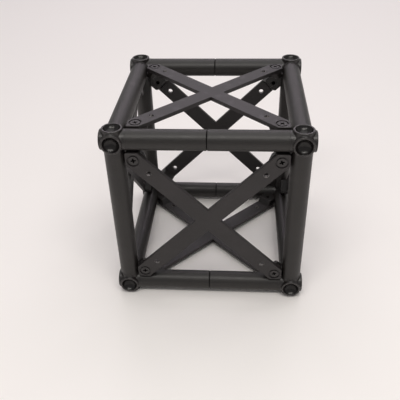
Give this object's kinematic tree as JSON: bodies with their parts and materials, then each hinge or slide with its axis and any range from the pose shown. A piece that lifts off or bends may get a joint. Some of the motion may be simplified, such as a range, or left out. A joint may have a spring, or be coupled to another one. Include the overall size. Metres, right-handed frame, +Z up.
{
  "type": "lighting truss section",
  "caption": "Cubic truss section of round tubes between cast corner hubs with open round mouths, each face braced by a flat X plate with countersunk screws and empty fixing holes.",
  "frame": {"origin": "centre of the footprint, on the plane of the four downward-facing rims", "axes": "+Z up, +X to the right and +Y to the back as the section stands in its picture; the seamed tubes run along X"},
  "size_m": [0.254, 0.254, 0.254],
  "materials": {
    "hub_casting": "satin near-black paint over a cast surface, glossier inside the mouths",
    "tube": "satin near-black paint",
    "brace_plate": "satin near-black powder coat",
    "screw": "satin blackened steel",
    "sleeve": "black anodised"
  },
  "bodies": {
    "root": {"hub_bottom_front_left": "hub_casting", "hub_bottom_front_right": "hub_casting", "hub_bottom_back_left": "hub_casting", "hub_bottom_back_right": "hub_casting", "hub_top_front_left": "hub_casting", "hub_top_front_right": "hub_casting", "hub_top_back_left": "hub_casting", "hub_top_back_right": "hub_casting", "cross_tube_bottom_front_left": "tube", "cross_tube_bottom_front_right": "tube", "seam_sleeve_bottom_front": "sleeve", "cross_tube_bottom_back_left": "tube", "cross_tube_bottom_back_right": "tube", "seam_sleeve_bottom_back": "sleeve", "cross_tube_top_front_left": "tube", "cross_tube_top_front_right": "tube", "seam_sleeve_top_front": "sleeve", "cross_tube_top_back_left": "tube", "cross_tube_top_back_right": "tube", "seam_sleeve_top_back": "sleeve", "post_front_left": "tube", "post_front_right": "tube", "post_back_left": "tube", "post_back_right": "tube", "side_tube_bottom_left": "tube", "side_tube_bottom_right": "tube", "side_tube_top_left": "tube", "side_tube_top_right": "tube", "brace_plate_front": "brace_plate", "brace_plate_back": "brace_plate", "brace_plate_left": "brace_plate", "brace_plate_right": "brace_plate", "brace_plate_top": "brace_plate", "brace_plate_bottom": "brace_plate", "brace_screws_front": "screw", "brace_screws_back": "screw", "brace_screws_left": "screw", "brace_screws_right": "screw", "brace_screws_top": "screw", "brace_screws_bottom": "screw"}
  },
  "joints": []
}
